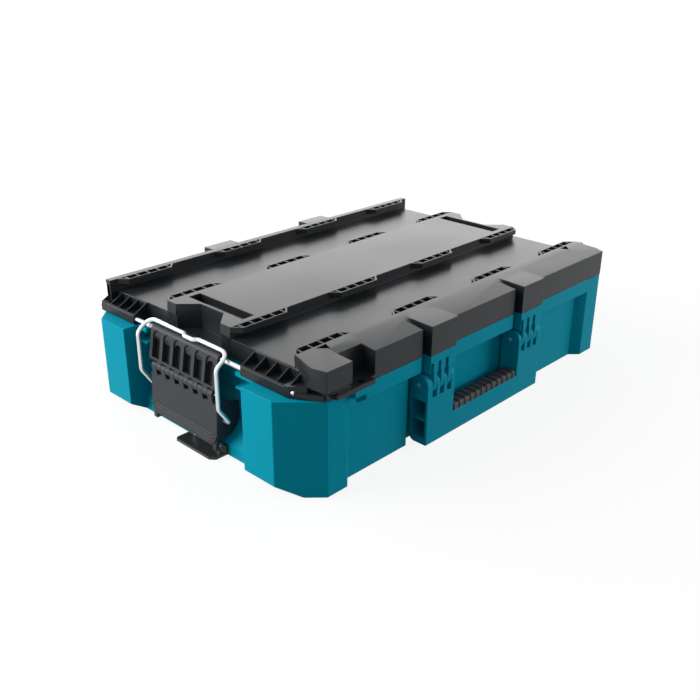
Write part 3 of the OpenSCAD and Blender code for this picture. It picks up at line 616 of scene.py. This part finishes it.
class CASE_OT_feet(bpy.types.Operator):
    """Coated catches under the ends and their screws"""

    bl_idname = "case.feet"
    bl_label = "Foot catches"

    def execute(self, context):
        radius = context.scene.case_finish.fine_edge
        for side in SIDES:
            dressed(f"foot_catch_{side}", f"foot_{side}", "coated", radius)
            dressed(f"foot_screws_{side}", f"screws_{side}", "steel", radius * SCREW_SHARE)
        return {"FINISHED"}


# ---- stage ----


def soft_lamp(name, place, size, power):
    """A rectangular lamp aimed at the case."""
    data = bpy.data.lights.new(name, "AREA")
    data.shape = "RECTANGLE"
    data.size, data.size_y = size
    data.energy = power
    lamp = bpy.data.objects.new(name, data)
    lamp.location = place
    turn = (Vector(LAMP_AIM) - Vector(place)).to_track_quat("-Z", "Y")
    lamp.rotation_euler = turn.to_euler()
    bpy.context.scene.collection.objects.link(lamp)


def seen_rays(tree):
    """1 for rays of the camera and for those in gloss and glass."""
    path = tree.nodes.new("ShaderNodeLightPath")
    direct = maths(tree, "MAXIMUM", path.outputs["Is Camera Ray"], path.outputs["Is Glossy Ray"])
    return maths(tree, "MAXIMUM", direct, path.outputs["Is Transmission Ray"])


class CASE_OT_stage(bpy.types.Operator):
    """Pale floor, soft lamps, world and camera"""

    bl_idname = "case.stage"
    bl_label = "Stage"

    def execute(self, context):
        studio = context.scene.case_studio
        self.world()
        self.floor(studio)
        for key, (place, size) in LAMPS.items():
            soft_lamp(f"{key}_lamp", place, size, getattr(studio, f"{key}_power"))
        self.camera(studio)
        context.scene.view_settings.view_transform = "Standard"
        return {"FINISHED"}

    def world(self):
        """White where it is seen, and a weak cool light elsewhere."""
        world = bpy.data.worlds.new("studio_world")
        bpy.context.scene.world = world
        world.use_nodes = True
        nodes, links = cleared(world.node_tree)
        out = nodes.new("ShaderNodeOutputWorld")
        mix = nodes.new("ShaderNodeMixShader")
        room = set_inputs(nodes.new("ShaderNodeBackground"), Color=ROOM_COLOUR,
                          Strength=ROOM_STRENGTH)
        seen = set_inputs(nodes.new("ShaderNodeBackground"), Color=WHITE, Strength=1.0)
        links.new(seen_rays(world.node_tree), mix.inputs[0])
        links.new(room.outputs[0], mix.inputs[1])
        links.new(seen.outputs[0], mix.inputs[2])
        links.new(mix.outputs[0], out.inputs["Surface"])

    def floor(self, studio):
        """A floor that takes soft shadows and glows where it is seen."""
        mesh = bpy.data.meshes.new("studio_floor")
        corners = ((-1, -1), (1, -1), (1, 1), (-1, 1))
        mesh.from_pydata([(x * FLOOR_REACH, y * FLOOR_REACH, 0) for x, y in corners],
                         [], [(0, 1, 2, 3)])
        floor = new_piece("studio_floor", mesh)
        material = bpy.data.materials.new("studio_floor")
        material.use_nodes = True
        nodes, links = cleared(material.node_tree)
        out = nodes.new("ShaderNodeOutputMaterial")
        tone = studio.floor_tone
        lit = set_inputs(nodes.new("ShaderNodeBsdfDiffuse"), Color=(tone, tone, tone, 1))
        # the glow grows outwards as the lamps' light falls away
        place = nodes.new("ShaderNodeTexCoord")
        distance = nodes.new("ShaderNodeVectorMath")
        distance.operation = "LENGTH"
        links.new(place.outputs["Object"], distance.inputs[0])
        level = set_inputs(nodes.new("ShaderNodeMapRange"), **FLOOR_GLOW)
        links.new(distance.outputs["Value"], level.inputs["Value"])
        glow = nodes.new("ShaderNodeEmission")
        links.new(level.outputs["Result"], glow.inputs["Strength"])
        dark = set_inputs(nodes.new("ShaderNodeEmission"), Strength=0.0)
        pick = nodes.new("ShaderNodeMixShader")
        total = nodes.new("ShaderNodeAddShader")
        links.new(seen_rays(material.node_tree), pick.inputs[0])
        links.new(dark.outputs[0], pick.inputs[1])
        links.new(glow.outputs[0], pick.inputs[2])
        links.new(lit.outputs[0], total.inputs[0])
        links.new(pick.outputs[0], total.inputs[1])
        links.new(total.outputs[0], out.inputs["Surface"])
        mesh.materials.append(material)

    def camera(self, studio):
        """The camera that was fitted to the photo."""
        forward = Vector((math.sin(CAMERA_BEARING) * math.cos(CAMERA_TILT),
                          math.cos(CAMERA_BEARING) * math.cos(CAMERA_TILT),
                          -math.sin(CAMERA_TILT)))
        side = forward.cross(Vector((0, 0, 1))).normalized()
        top = side.cross(forward)
        right = math.cos(CAMERA_ROLL) * side + math.sin(CAMERA_ROLL) * top
        up = -math.sin(CAMERA_ROLL) * side + math.cos(CAMERA_ROLL) * top
        data = bpy.data.cameras.new("photo_camera")
        data.lens = studio.lens
        data.sensor_width = SENSOR_WIDTH
        data.clip_end = VIEW_REACH
        camera = bpy.data.objects.new("photo_camera", data)
        turn = Matrix((right, up, -forward)).transposed().to_4x4()
        camera.matrix_world = Matrix.Translation(CAMERA_PLACE) @ turn
        bpy.context.scene.collection.objects.link(camera)
        bpy.context.scene.camera = camera


class CASE_PT_panel(bpy.types.Panel):
    """Sidebar list of the case's pieces"""

    bl_label = "Tool case"
    bl_space_type = "VIEW_3D"
    bl_region_type = "UI"
    bl_category = "Tool case"

    def draw(self, context):
        for piece in PIECES:
            self.layout.operator(piece.bl_idname)


PIECES = [CASE_OT_base, CASE_OT_lid, CASE_OT_handle, CASE_OT_latches, CASE_OT_wires,
          CASE_OT_feet, CASE_OT_stage]
GROUPS = {"case_finish": CaseFinish, "case_repeats": CaseRepeats, "case_studio": CaseStudio}


def register():
    for item in (*GROUPS.values(), *PIECES, CASE_PT_panel):
        bpy.utils.register_class(item)
    for name, group in GROUPS.items():
        setattr(bpy.types.Scene, name, PointerProperty(type=group))


def unregister():
    for name in GROUPS:
        delattr(bpy.types.Scene, name)
    for item in reversed((*GROUPS.values(), *PIECES, CASE_PT_panel)):
        bpy.utils.unregister_class(item)


def main():
    register()
    for piece in PIECES:
        space, name = piece.bl_idname.split(".")
        getattr(getattr(bpy.ops, space), name)()


if __name__ == "__main__":
    main()
